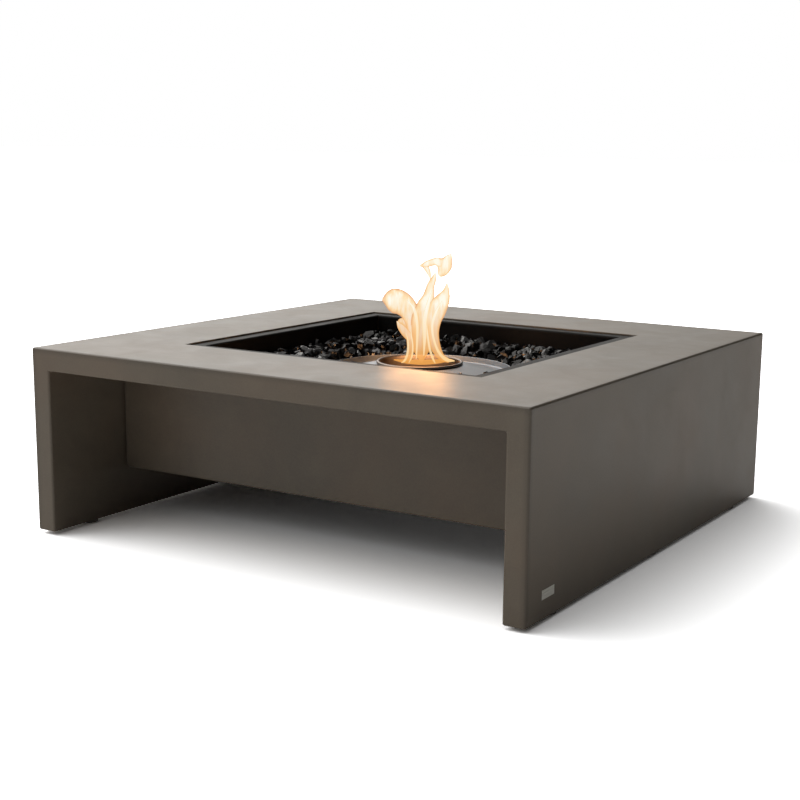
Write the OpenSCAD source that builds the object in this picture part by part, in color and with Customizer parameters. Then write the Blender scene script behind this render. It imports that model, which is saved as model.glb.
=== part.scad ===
// Low square fire-pit table: a cast-concrete waterfall body with two recessed aprons, a drop-in
// steel fire tray filled with fire glass, and a round liquid-fuel burner with a lift-out grate.
// Millimetres. +Z is up, +X to the right along the front, +Y to the back.
// The origin is the middle of the footprint, on the surface that the table stands on.

/* [Concrete body] */
// Width across the two legs
table_w = 1000; // [800:10:1300]
// Depth from the front edge to the back edge
table_d = 1000; // [800:10:1300]
// Height of the concrete from the underside of the legs to the table top
body_h = 334; // [270:1:450]
// Thickness of each side leg
leg_t = 40; // [32:1:60]
// Thickness of the top slab
slab_t = 40; // [32:1:60]
// Rounding of the outer edges
edge_r = 4; // [2:0.5:8]
// Rounding of the two inner corners of the arch
arch_r = 3; // [1:0.5:6]

/* [Aprons] */
// Gap between the way through the slab and the back of an apron
apron_off_pan = 4; // [2:1:20]
// Clear height under an apron, above the underside of the legs
apron_clear = 88; // [40:1:110]
// Thickness of an apron
apron_t = 26; // [20:1:40]
// Rounding of an apron's lower corners
apron_corner_r = 9; // [5:1:15]
// Gap between an apron's end and the rounding at the top of a leg
apron_gap = 0.5; // [0.5:0.5:4]

/* [Fire tray] */
// Side of the square opening in the top slab
opening = 620; // [510:5:750]
// Width of the ledge that carries the tray flange
ledge_w = 24; // [18:1:34]
// Drop of the flange below the table top
flange_drop = 3; // [1:0.5:6]
// Gap round the flange and round the pan
tray_gap = 2; // [1:0.5:4]
// Thickness of the folded tray sheet
tray_t = 2; // [1.5:0.5:3]
// Depth of the pan below the flange
pan_depth = 80; // [66:1:96]
// Thickness of the sealing strip under the flange
gasket_t = 1; // [0.5:0.5:2]
// Depth of the fire glass surface below the table top
glass_depth = 36; // [30:1:48]

/* [Burner] */
// Outer radius of the burner dish
dish_r = 177; // [147:0.5:213]
// Depth of the dish's outer gutter below the table top
dish_depth = 66; // [55:1:80]
// Height of the dish's upturned rim
dish_rim_h = 12; // [8:1:16]
// Inner radius of the collar, where the flame stands
mouth_r = 76.5; // [63:0.5:92]
// Depth of the collar's rolled lip below the table top
collar_depth = 40; // [33:1:50]
// Depth of the can's base below the table top
can_depth = 190; // [155:1:230]
// Thickness of the burner's sheet
sheet_t = 1.5; // [1:0.5:2]

/* [Grate] */
// Thickness of the perforated grate
grate_t = 3; // [2:0.5:4]
// Radius of one hole in the grate
grate_hole_r = 4; // [3:0.5:4.5]
// Spacing of the rings of holes
grate_pitch = 13; // [12:0.5:15]

/* [Feet and badge] */
// Thickness of a foot pad
foot_h = 6; // [5:0.5:12]
// Radius of a foot pad
foot_r = 14; // [10:1:15]
// Distance from the front or back edge in to the middle of an end pad
foot_inset = 110; // [60:5:160]
// Width of the blank badge plate
badge_w = 41; // [25:1:60]
// Height of the blank badge plate
badge_h = 15; // [8:1:25]
// Distance from the front edge to the near end of the badge
badge_from_front = 51; // [40:1:90]
// Distance from the underside of the leg to the badge
badge_from_base = 32.5; // [20:0.5:60]

/* [Fasteners] */
// Radius of a screw's shank
screw_r = 3; // [2.5:0.5:4]
// Length of a brass insert in the concrete
insert_l = 16; // [12:1:18]
// Number of bolts that hold the well under the tray
well_bolt_count = 8; // [4:2:12]

/* [Hidden] */
$fn = 96;

cut = 1;                 // how far a cutter runs past the face that it leaves
fit = 0.2;               // gap between pieces that are only slipped together
screw_clear = 0.4;       // gap round a screw's shank in a plate
arc_steps = 6;           // facets of a quarter-round edge
top_z = foot_h + body_h; // table top
slab_z = top_z - slab_t; // underside of the slab
arch_w = table_w - 2 * leg_t;

rebate_depth = flange_drop + tray_t + gasket_t;
through = opening - 2 * ledge_w;
flange_w = opening - 2 * tray_gap;
pan_w = through - 2 * tray_gap;
flange_z = top_z - flange_drop - tray_t;
pan_floor_z = flange_z + tray_t - pan_depth;
pan_under_z = pan_floor_z - tray_t;
weep_r = 4;              // drain hole in a corner of the pan
weep_inset = 30;

apron_back_y = through / 2 + apron_off_pan;
apron_face_y = apron_back_y + apron_t;
apron_w = arch_w - 2 * (arch_r + apron_gap);
apron_z = foot_h + apron_clear;
apron_h = slab_z - apron_z;
apron_edge_r = edge_r;

bracket_l = 60;
bracket_leg = 40;
bracket_t = 4;
bracket_x = (opening / 2 + arch_w / 2) / 2;
bracket_screw_x = bracket_l / 4;
bracket_screw_at = bracket_leg / 2 + bracket_t / 2;

head_r = 1.8 * screw_r;
head_h = screw_r;
insert_r = screw_r + 1.5;
screw_reach = 10;        // how far a screw runs into its insert
foot_seat = head_h + 0.6; // height of the screw head's seat inside a foot pad

badge_t = 1.2;
badge_tape_t = 0.3;
badge_edge = 1;          // raised border of the badge
badge_field_drop = 0.3;
badge_sink = 0.1;        // the badge lies this far below the leg's face

plate_under_z = top_z - dish_depth - sheet_t;
dish_gutter_w = 12;      // flat ring inside the dish's rim, which rests on the guard
dish_crown_w = 8;        // flat ring round the collar
guard_r = dish_r - 8;    // outer radius of the ring that carries the dish
guard_t = 2;
well_clear = 15.5;       // air space between the can and the well
well_flange_w = 17;
well_bolt_in = 26.3;     // from the guard ring's inside in to the well's bolts
well_bolt_out = 10.2;    // from the hole in the pan out to the well's bolts
well_pcd_r = guard_r - guard_t - well_bolt_in;
well_r = well_pcd_r - well_bolt_out;
can_r = well_r - well_clear;
well_floor_z = top_z - can_depth - 10;
well_bolt_r = 2.5;
well_bolt_head_r = 4.5;
well_bolt_head_h = 3;
well_nut_h = 4;
well_nut_r = 4.6;
drain_r = 4;

can_base_z = top_z - can_depth;
collar_top_z = top_z - collar_depth;
collar_r = mouth_r + sheet_t;
lip_r = 3;               // radius of the rolled lip
lip_centre_r = mouth_r + lip_r - 0.5;
crown_under_z = collar_top_z - 2 * lip_r - fit - sheet_t;
crown_r = collar_r + fit + dish_crown_w;
gutter_r = dish_r - dish_gutter_w;
collar_drop = 28;        // how far the collar hangs below the dish's crown
collar_foot_z = crown_under_z - collar_drop;
collar_flange_w = 4;
ledge_in = 6;            // width of the ledge that the grate lies on
grate_z = collar_foot_z + sheet_t;
grate_r = mouth_r - 0.8;
grate_rings = floor((grate_r - grate_hole_r - 4) / grate_pitch);

reservoir_r = can_r - 14;
reservoir_wall = 1;
reservoir_floor_z = can_base_z + 12;
reservoir_h = collar_foot_z - 3 - reservoir_floor_z;
spacer_h = reservoir_floor_z - can_base_z - sheet_t;
spacer_r = 8;
spacer_count = 3;
wool_hole_r = 40;
wool_h = 0.62 * reservoir_h;

// Height of the dish's underside at radius r: gutter, cone, crown.
function dish_under(r) =
    plate_under_z
    + (crown_under_z - plate_under_z) * min(1, max(0, (gutter_r - r) / (gutter_r - crown_r)));

// Points of a rectangle with quarter-round corners of radius r, centred on the origin.
function rounded_points(w, h, r) = [
    for (corner = [0:3])
        for (step = [0:arc_steps])
            let (
                turn = 90 * corner + 90 * step / arc_steps,
                side_x = (corner == 0 || corner == 3) ? 1 : -1,
                side_y = corner < 2 ? 1 : -1
            )
            [side_x * (w / 2 - r) + r * cos(turn), side_y * (h / 2 - r) + r * sin(turn)]
];

// A block centred in X and Y that stands on z = 0, with rounded edges on all three outlines.
module rounded_block(w, d, h, r, front_r) {
    intersection() {
        linear_extrude(h) polygon(rounded_points(w, d, r));
        translate([0, d / 2 + cut, h / 2])
            rotate([90, 0, 0])
                linear_extrude(d + 2 * cut) polygon(rounded_points(w, h, front_r));
        translate([-w / 2 - cut, 0, h / 2])
            rotate([90, 0, 90])
                linear_extrude(w + 2 * cut) polygon(rounded_points(d, h, r));
    }
}

// A round tube or washer that stands on z = 0.
module ring(outer_r, inner_r, h) {
    difference() {
        cylinder(r = outer_r, h = h);
        translate([0, 0, -cut]) cylinder(r = inner_r, h = h + 2 * cut);
    }
}

// A square frame that stands on z = 0.
module square_ring(outer_w, inner_w, h) {
    difference() {
        translate([-outer_w / 2, -outer_w / 2, 0]) cube([outer_w, outer_w, h]);
        translate([-inner_w / 2, -inner_w / 2, -cut]) cube([inner_w, inner_w, h + 2 * cut]);
    }
}

// A pan-head screw whose head's seat is at z = 0 and whose shank points up.
module screw(shank_r, length) {
    translate([0, 0, -head_h]) cylinder(r = head_r, h = head_h, $fn = 48);
    cylinder(r = shank_r, h = length, $fn = 48);
}

// Places its children on the slab's underside, at each bracket's two upper holes, pointing up.
module at_slab_screws() {
    for (side_x = [-1, 1])
        for (side_y = [-1, 1])
            for (hole_x = [-1, 1])
                translate([
                    side_x * bracket_x + hole_x * bracket_screw_x,
                    side_y * (apron_back_y - bracket_screw_at),
                    slab_z
                ])
                    children();
}

// Places its children on an apron's back face, at each bracket's two lower holes, pointing
// into that apron.
module at_apron_screws(side_y) {
    for (side_x = [-1, 1])
        for (hole_x = [-1, 1])
            translate([
                side_x * bracket_x + hole_x * bracket_screw_x,
                side_y * apron_back_y,
                slab_z - bracket_screw_at
            ])
                rotate([-90 * side_y, 0, 0])
                    children();
}

// Places its children at the middle of each foot pad, at height z.
module at_feet(z) {
    for (side_x = [-1, 1])
        for (row_y = [-1, 0, 1])
            translate([side_x * (table_w - leg_t) / 2, row_y * (table_d / 2 - foot_inset), z])
                children();
}

module at_well_bolts(z) {
    for (i = [0:well_bolt_count - 1])
        rotate([0, 0, 360 * (i + 0.5) / well_bolt_count])
            translate([well_pcd_r, 0, z])
                children();
}

// Places its child in the badge's frame: X to the back, Y up and Z out of the leg's face.
module at_badge(depth) {
    translate([
        table_w / 2 - depth,
        -table_d / 2 + badge_from_front + badge_w / 2,
        foot_h + badge_from_base + badge_h / 2
    ])
        rotate([90, 0, 90])
            children();
}

module concrete_body() {
    pocket_depth = badge_t + badge_tape_t + badge_sink;
    color([0.47, 0.45, 0.41])
        difference() {
            translate([0, 0, foot_h]) rounded_block(table_w, table_d, body_h, edge_r, edge_r);
            // the arch under the slab, open at the front, the back and below
            translate([0, table_d / 2 + cut, slab_z - body_h])
                rotate([90, 0, 0])
                    linear_extrude(table_d + 2 * cut)
                        polygon(rounded_points(arch_w, 2 * body_h, arch_r));
            // the rebate for the tray's flange, and the way through
            translate([-opening / 2, -opening / 2, top_z - rebate_depth])
                cube([opening, opening, rebate_depth + cut]);
            translate([-through / 2, -through / 2, slab_z - cut])
                cube([through, through, slab_t + 2 * cut]);
            // the pocket for the badge
            at_badge(pocket_depth)
                translate([-badge_w / 2 - fit, -badge_h / 2 - fit, 0])
                    cube([badge_w + 2 * fit, badge_h + 2 * fit, pocket_depth + cut]);
            // the holes for the brass inserts
            at_slab_screws() translate([0, 0, -cut]) cylinder(r = insert_r + fit, h = insert_l + fit + cut);
            at_feet(foot_h) translate([0, 0, -cut]) cylinder(r = insert_r + fit, h = insert_l + fit + cut);
        }
}

// One apron: a cast panel between the legs, with its insert holes in its back face.
module apron(side_y) {
    color([0.42, 0.40, 0.36])
        difference() {
            translate([0, side_y * (apron_face_y - apron_t / 2), apron_z])
                rounded_block(apron_w, apron_t, apron_h + 2 * apron_corner_r, apron_edge_r, apron_corner_r);
            // the flat top that lies against the slab
            translate([-apron_w / 2 - cut, side_y * apron_face_y - apron_t - cut, slab_z])
                cube([apron_w + 2 * cut, 2 * (apron_t + cut), 2 * apron_corner_r + cut]);
            at_apron_screws(side_y)
                translate([0, 0, -cut]) cylinder(r = insert_r + fit, h = insert_l + fit + cut);
        }
}

module front_apron() {
    apron(-1);
}

module rear_apron() {
    apron(1);
}

// Four steel angles, each with two holes up into the slab and two back into an apron.
module apron_brackets() {
    color([0.12, 0.12, 0.13])
        for (side_x = [-1, 1])
            for (side_y = [-1, 1])
                difference() {
                    translate([side_x * bracket_x, side_y * apron_back_y, slab_z])
                        rotate([0, 0, side_y > 0 ? 180 : 0])
                            translate([-bracket_l / 2, 0, -bracket_leg])
                                difference() {
                                    cube([bracket_l, bracket_leg, bracket_leg]);
                                    translate([-cut, bracket_t, -cut])
                                        cube([
                                            bracket_l + 2 * cut,
                                            bracket_leg,
                                            bracket_leg - bracket_t + cut
                                        ]);
                                }
                    at_slab_screws()
                        translate([0, 0, -bracket_t - cut])
                            cylinder(r = screw_r + screw_clear, h = bracket_t + 2 * cut);
                    at_apron_screws(side_y)
                        translate([0, 0, -bracket_t - cut])
                            cylinder(r = screw_r + screw_clear, h = bracket_t + 2 * cut);
                }
}

// A threaded brass insert, flush with the face that it is set in.
module brass_insert() {
    ring(insert_r, screw_r + fit, insert_l);
}

module slab_inserts() {
    color([0.72, 0.58, 0.30]) at_slab_screws() brass_insert();
}

module slab_screws() {
    color([0.60, 0.60, 0.62])
        at_slab_screws() translate([0, 0, -bracket_t]) screw(screw_r, bracket_t + screw_reach);
}

module apron_inserts() {
    color([0.72, 0.58, 0.30])
        for (side_y = [-1, 1]) at_apron_screws(side_y) brass_insert();
}

module apron_screws() {
    color([0.60, 0.60, 0.62])
        for (side_y = [-1, 1])
            at_apron_screws(side_y)
                translate([0, 0, -bracket_t]) screw(screw_r, bracket_t + screw_reach);
}

// Six round pads under the legs, each with a recess that hides its screw's head.
module foot_pads() {
    color([0.20, 0.20, 0.20])
        at_feet(0)
            difference() {
                cylinder(r = foot_r, h = foot_h);
                translate([0, 0, -cut]) cylinder(r = head_r + 0.8, h = foot_seat + cut);
                cylinder(r = screw_r + screw_clear, h = foot_h + cut);
            }
}

module foot_inserts() {
    color([0.72, 0.58, 0.30]) at_feet(foot_h) brass_insert();
}

module foot_screws() {
    color([0.60, 0.60, 0.62]) at_feet(foot_seat) screw(screw_r, foot_h - foot_seat + screw_reach);
}

// A blank metal plate with a raised border, sunk in the right leg's outer face.
module badge_plate() {
    color([0.55, 0.54, 0.52])
        at_badge(badge_t + badge_sink)
            difference() {
                translate([-badge_w / 2, -badge_h / 2, 0]) cube([badge_w, badge_h, badge_t]);
                translate([-badge_w / 2 + badge_edge, -badge_h / 2 + badge_edge, badge_t - badge_field_drop])
                    cube([badge_w - 2 * badge_edge, badge_h - 2 * badge_edge, badge_field_drop + cut]);
            }
}

module badge_adhesive() {
    color([0.85, 0.84, 0.80])
        at_badge(badge_t + badge_tape_t + badge_sink)
            translate([-badge_w / 2 + 1, -badge_h / 2 + 1, 0])
                cube([badge_w - 2, badge_h - 2, badge_tape_t]);
}

// The sealing strip on the ledge, all the way round the opening.
module flange_gasket() {
    color([0.08, 0.08, 0.08])
        translate([0, 0, top_z - rebate_depth])
            square_ring(flange_w - 4, through + 6, gasket_t);
}

// The folded pan with its flat flange, a hole for the burner and four drain holes.
module fire_tray() {
    color([0.13, 0.13, 0.14])
        difference() {
            union() {
                translate([-flange_w / 2, -flange_w / 2, flange_z]) cube([flange_w, flange_w, tray_t]);
                translate([-pan_w / 2, -pan_w / 2, pan_under_z])
                    cube([pan_w, pan_w, flange_z + tray_t - pan_under_z]);
            }
            translate([-pan_w / 2 + tray_t, -pan_w / 2 + tray_t, pan_floor_z])
                cube([pan_w - 2 * tray_t, pan_w - 2 * tray_t, pan_depth + cut]);
            translate([0, 0, pan_under_z - cut]) cylinder(r = well_r, h = tray_t + 2 * cut);
            at_well_bolts(pan_under_z - cut) cylinder(r = well_bolt_r + screw_clear, h = tray_t + 2 * cut);
            for (side_x = [-1, 1])
                for (side_y = [-1, 1])
                    translate([
                        side_x * (pan_w / 2 - weep_inset),
                        side_y * (pan_w / 2 - weep_inset),
                        pan_under_z - cut
                    ])
                        cylinder(r = weep_r, h = tray_t + 2 * cut);
        }
}

// Two folded channels under the pan, either side of the well, which keep its floor flat.
module pan_stiffeners() {
    rail_h = 18;
    rail_w = 30;
    rail_l = pan_w - 60;
    color([0.13, 0.13, 0.14])
        for (side_x = [-1, 1])
            translate([
                side_x * (well_r + well_flange_w + 45) - rail_w / 2,
                -rail_l / 2,
                pan_under_z - rail_h
            ])
                difference() {
                    cube([rail_w, rail_l, rail_h]);
                    translate([tray_t, -cut, tray_t])
                        cube([rail_w - 2 * tray_t, rail_l + 2 * cut, rail_h]);
                }
}

// The ring that stands on the pan's floor, keeps the glass back and carries the dish.
module glass_guard() {
    color([0.13, 0.13, 0.14])
        translate([0, 0, pan_floor_z]) ring(guard_r, guard_r - guard_t, plate_under_z - pan_floor_z);
}

// The deep round well that hangs under the pan, with a drain hole in its floor.
module burner_well() {
    color([0.13, 0.13, 0.14])
        difference() {
            union() {
                translate([0, 0, well_floor_z]) cylinder(r = well_r + sheet_t, h = pan_under_z - well_floor_z);
                translate([0, 0, pan_under_z - sheet_t]) cylinder(r = well_r + well_flange_w, h = sheet_t);
            }
            translate([0, 0, well_floor_z + sheet_t]) cylinder(r = well_r, h = pan_under_z - well_floor_z);
            translate([0, 0, well_floor_z - cut]) cylinder(r = drain_r, h = sheet_t + 2 * cut);
            at_well_bolts(pan_under_z - sheet_t - cut)
                cylinder(r = well_bolt_r + screw_clear, h = sheet_t + 2 * cut);
        }
}

module well_bolts() {
    bolt_l = tray_t + sheet_t + well_nut_h + 2;
    color([0.60, 0.60, 0.62])
        at_well_bolts(pan_floor_z) {
            cylinder(r = well_bolt_head_r, h = well_bolt_head_h);
            translate([0, 0, -bolt_l]) cylinder(r = well_bolt_r, h = bolt_l + cut / 2);
        }
}

module well_nuts() {
    color([0.60, 0.60, 0.62])
        at_well_bolts(pan_under_z - sheet_t - well_nut_h)
            difference() {
                cylinder(r = well_nut_r, h = well_nut_h, $fn = 6);
                translate([0, 0, -cut]) cylinder(r = well_bolt_r + fit, h = well_nut_h + 2 * cut);
            }
}

// The bed of loose glass, as one plain closed solid: it fills the pan from the floor up and
// slopes down towards the dish.
module fire_glass() {
    bed_w = pan_w - 2 * tray_t - 2;
    bed_h = top_z - glass_depth - pan_floor_z;
    slope = 16;
    color([0.05, 0.05, 0.06])
        translate([0, 0, pan_floor_z])
            difference() {
                translate([-bed_w / 2, -bed_w / 2, 0]) cube([bed_w, bed_w, bed_h]);
                translate([0, 0, -cut]) cylinder(r = dish_r + 1, h = bed_h + 2 * cut);
                translate([0, 0, bed_h - slope])
                    cylinder(r1 = dish_r + 1, r2 = dish_r + 1 + 3 * (slope + cut), h = slope + cut);
            }
}

// The spun dish: a flat gutter inside an upturned rim, a low cone that rises to a flat crown, and
// a hole for the collar.
module burner_dish() {
    color([0.62, 0.60, 0.57])
        rotate_extrude()
            polygon([
                [dish_r, plate_under_z],
                [dish_r, plate_under_z + sheet_t + dish_rim_h],
                [dish_r - sheet_t, plate_under_z + sheet_t + dish_rim_h],
                [dish_r - sheet_t, plate_under_z + sheet_t],
                [gutter_r, plate_under_z + sheet_t],
                [crown_r, crown_under_z + sheet_t],
                [collar_r + fit, crown_under_z + sheet_t],
                [collar_r + fit, crown_under_z],
                [crown_r, crown_under_z],
                [gutter_r, plate_under_z]
            ]);
}

// The collar: a tube with a rolled lip, a weld flange under the dish and a ledge for the grate.
module burner_collar() {
    color([0.66, 0.64, 0.61])
        difference() {
            union() {
                translate([0, 0, collar_foot_z])
                    cylinder(r = collar_r, h = collar_top_z - lip_r - collar_foot_z);
                translate([0, 0, crown_under_z - sheet_t])
                    cylinder(r = collar_r + collar_flange_w, h = sheet_t);
                translate([0, 0, collar_top_z - lip_r])
                    rotate_extrude() translate([lip_centre_r, 0]) circle(r = lip_r, $fn = 32);
            }
            translate([0, 0, collar_foot_z + sheet_t])
                cylinder(r = mouth_r, h = collar_top_z - collar_foot_z);
            translate([0, 0, collar_foot_z - cut]) cylinder(r = mouth_r - ledge_in, h = sheet_t + 2 * cut);
        }
}

// The outer can, which hangs from the dish inside the well; its top edge follows the cone.
module burner_can() {
    can_in = can_r - sheet_t;
    color([0.58, 0.58, 0.58])
        rotate_extrude()
            polygon([
                [can_r, can_base_z],
                [can_r, dish_under(can_r)],
                [can_in, dish_under(can_in)],
                [can_in, can_base_z]
            ]);
}

module burner_base() {
    color([0.58, 0.58, 0.58])
        translate([0, 0, can_base_z]) cylinder(r = can_r - sheet_t - fit, h = sheet_t);
}

// The inner vessel that holds the fuel.
module fuel_reservoir() {
    color([0.62, 0.62, 0.62])
        translate([0, 0, reservoir_floor_z])
            difference() {
                cylinder(r = reservoir_r, h = reservoir_h);
                translate([0, 0, reservoir_wall])
                    cylinder(r = reservoir_r - reservoir_wall, h = reservoir_h);
            }
}

module reservoir_spacers() {
    color([0.85, 0.83, 0.78])
        for (i = [0:spacer_count - 1])
            rotate([0, 0, 360 * i / spacer_count])
                translate([reservoir_r * 0.7, 0, can_base_z + sheet_t])
                    cylinder(r = spacer_r, h = spacer_h);
}

// The ceramic wool that soaks up the fuel, with a well in its middle.
module fuel_wool() {
    color([0.90, 0.89, 0.86])
        translate([0, 0, reservoir_floor_z + reservoir_wall])
            ring(reservoir_r - reservoir_wall - 0.5, wool_hole_r, wool_h);
}

// The perforated grate on the collar's ledge: a centre hole and rings of holes round it.
module flame_grate() {
    color([0.30, 0.29, 0.28])
        translate([0, 0, grate_z])
            difference() {
                cylinder(r = grate_r, h = grate_t);
                translate([0, 0, -cut]) cylinder(r = grate_hole_r, h = grate_t + 2 * cut);
                for (row = [1:grate_rings])
                    for (i = [0:6 * row - 1])
                        rotate([0, 0, 60 * i / row])
                            translate([row * grate_pitch, 0, -cut])
                                cylinder(r = grate_hole_r, h = grate_t + 2 * cut, $fn = 24);
            }
}

concrete_body();
front_apron();
rear_apron();
apron_brackets();
slab_inserts();
slab_screws();
apron_inserts();
apron_screws();
foot_pads();
foot_inserts();
foot_screws();
badge_plate();
badge_adhesive();
flange_gasket();
fire_tray();
pan_stiffeners();
glass_guard();
burner_well();
well_bolts();
well_nuts();
fire_glass();
burner_dish();
burner_collar();
burner_can();
burner_base();
fuel_reservoir();
reservoir_spacers();
fuel_wool();
flame_grate();
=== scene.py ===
"""Looks of the square concrete fire-pit table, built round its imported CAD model. Metres."""
import math

import bmesh
import bpy
import numpy as np
from mathutils import Matrix, Vector


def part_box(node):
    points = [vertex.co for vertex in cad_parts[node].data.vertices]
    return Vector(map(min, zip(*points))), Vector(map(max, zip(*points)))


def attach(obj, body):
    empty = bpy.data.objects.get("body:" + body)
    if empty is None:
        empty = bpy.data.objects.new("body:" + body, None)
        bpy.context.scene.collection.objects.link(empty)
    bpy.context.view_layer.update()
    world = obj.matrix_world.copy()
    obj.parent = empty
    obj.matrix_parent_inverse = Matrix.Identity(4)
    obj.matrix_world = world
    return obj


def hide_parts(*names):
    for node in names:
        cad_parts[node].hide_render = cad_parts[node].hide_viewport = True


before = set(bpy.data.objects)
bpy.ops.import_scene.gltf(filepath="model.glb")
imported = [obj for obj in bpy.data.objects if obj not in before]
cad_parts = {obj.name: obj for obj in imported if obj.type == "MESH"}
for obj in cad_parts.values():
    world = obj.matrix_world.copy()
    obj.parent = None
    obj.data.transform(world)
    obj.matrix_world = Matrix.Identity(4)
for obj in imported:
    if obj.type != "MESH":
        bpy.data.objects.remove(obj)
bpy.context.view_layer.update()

MM = 0.001

# ---------------------------------------------------------------------------------------------
# Sizes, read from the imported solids
# ---------------------------------------------------------------------------------------------

body_low, body_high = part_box("concrete_body")
apron_low, apron_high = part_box("front_apron")
rear_low, rear_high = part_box("rear_apron")
tray_low, tray_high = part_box("fire_tray")
gasket_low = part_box("flange_gasket")[0]
well_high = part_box("burner_well")[1]
glass_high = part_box("fire_glass")[1]
dish_low, dish_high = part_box("burner_dish")
collar_low, collar_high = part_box("burner_collar")
badge_low, badge_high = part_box("badge_plate")
tape_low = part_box("badge_adhesive")[0]

TOP = body_high.z
SLAB_UNDER = apron_high.z
LEG_FACE = apron_high.x + 3.5 * MM        # inner face of the right leg
TRAY_GAP = 2 * MM                         # between the tray and the concrete
SHEET = 2 * MM                            # folded steel of the tray
SPUN = 1.5 * MM                           # spun steel of the burner
PAN_HALF = glass_high.x + 1 * MM          # inside of the pan's wall
PAN_FLOOR = tray_low.z + SHEET
OPENING_HALF = tray_high.x + TRAY_GAP
THROUGH_HALF = PAN_HALF + SHEET + TRAY_GAP
WELL_RADIUS = well_high.x - 17 * MM       # the hole in the pan's floor
DISH_RADIUS = dish_high.x
MOUTH_RADIUS = 76.5 * MM
RIM_HEIGHT = 12 * MM                      # of the dish's rim above its gutter
GUTTER = 12 * MM                          # width of the flat ring inside that rim
CROWN = 8 * MM                            # width of the flat ring round the collar
FIT_GAP = 0.2 * MM                        # between parts that fit into each other
VIEW_TURN = math.radians(30.96)           # the camera's direction round the object

random = np.random.default_rng(7)


# ---------------------------------------------------------------------------------------------
# Meshes from arrays
# ---------------------------------------------------------------------------------------------

MERGE_DISTANCE = 1e-7     # points closer than this are one


def mesh_piece(name, points, faces, material, body=None, closed=True):
    """An object at the origin from an array of points and arrays or lists of faces."""
    mesh = bpy.data.meshes.new(name)
    mesh.from_pydata(np.asarray(points, float).tolist(), [], [list(map(int, f)) for f in faces])
    if closed:
        shape = bmesh.new()
        shape.from_mesh(mesh)
        bmesh.ops.remove_doubles(shape, verts=shape.verts, dist=MERGE_DISTANCE)
        bmesh.ops.recalc_face_normals(shape, faces=shape.faces)
        shape.to_mesh(mesh)
        shape.free()
    mesh.polygons.foreach_set("use_smooth", np.ones(len(mesh.polygons), bool))
    mesh.materials.append(material)
    mesh.update()
    piece = bpy.data.objects.new(name, mesh)
    bpy.context.scene.collection.objects.link(piece)
    if body:
        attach(piece, body)
    return piece


def grid_faces(rows, columns, close_rows=False):
    """Four-sided faces of a grid whose rows are closed rings, with the last row joined to the first
    if close_rows says so."""
    row = np.arange(rows if close_rows else rows - 1)[:, None]
    column = np.arange(columns)[None, :]
    next_row = (row + 1) % rows
    next_column = (column + 1) % columns
    corners = [row * columns + column, row * columns + next_column,
               next_row * columns + next_column, next_row * columns + column]
    corners = [np.broadcast_to(c, (row.size, column.size)) for c in corners]
    return np.stack(corners, -1).reshape(-1, 4)


def bend(centre, radius, start, stop, steps=6):
    """Points of a round bend in a section: centre plus radius times the cosine and sine."""
    turn = np.radians(np.linspace(start, stop, steps))
    return np.stack([centre[0] + radius * np.cos(turn), centre[1] + radius * np.sin(turn)], -1)


def rounded_ring(half, corner, steps):
    """Outline of a square of that half width with round corners, as steps points per corner; a
    corner as large as the half width gives a circle."""
    half, corner = (np.atleast_1d(np.asarray(v, float))[:, None, None] for v in (half, corner))
    quarter = np.arange(4)[None, :, None]
    turn = np.radians(90 * quarter + 90 * (np.arange(steps)[None, None, :] + 0.5) / steps)
    side_x = np.where((quarter == 0) | (quarter == 3), 1, -1)
    side_y = np.where(quarter < 2, 1, -1)
    x = side_x * (half - corner) + corner * np.cos(turn)
    y = side_y * (half - corner) + corner * np.sin(turn)
    return np.stack([x, y], -1).reshape(len(half), -1, 2)


def loft_section(section, corners, steps):
    """Carries a closed section round a square path: each point of the section is a half width and
    a height, and becomes one rounded ring."""
    section = np.asarray(section)
    rings = rounded_ring(section[:, 0], corners, steps)
    heights = np.broadcast_to(section[:, 1, None, None], rings.shape[:2] + (1,))
    return np.concatenate([rings, heights], -1)


def spin_section(section, steps):
    """Turns a closed section of radii and heights once round the Z axis."""
    section = np.asarray(section)
    turn = np.linspace(0, 2 * np.pi, steps, endpoint=False)
    x = section[:, 0, None] * np.cos(turn)
    y = section[:, 0, None] * np.sin(turn)
    return np.stack([x, y, np.broadcast_to(section[:, 1, None], x.shape)], -1)


def ring_piece(name, rings, material, body):
    """A closed tube-like piece from rings that also join last to first."""
    faces = grid_faces(rings.shape[0], rings.shape[1], close_rows=True)
    return mesh_piece(name, rings.reshape(-1, 3), faces, material, body)


def show_true_normals(piece):
    """Keeps large flat faces flat-looking where they meet narrow bends."""
    piece.modifiers.new("true normals", "WEIGHTED_NORMAL").keep_sharp = True


# ---------------------------------------------------------------------------------------------
# Materials
# ---------------------------------------------------------------------------------------------

EDGE_BAND = 12 * MM       # how far in from an outer edge the concrete starts to darken
EDGE_SHADE = 0.45         # how far the edge goes towards its dark colour, and how dark that is


def rgb(red, green, blue):
    return (red, green, blue, 1.0)


def darker(colour, share):
    return rgb(*(share * c for c in colour[:3]))


def join(tree, value, socket):
    """Joins an output to a socket, or sets a plain number or colour on it."""
    if isinstance(value, bpy.types.NodeSocket):
        tree.links.new(value, socket)
    elif value is not None:
        socket.default_value = value


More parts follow.
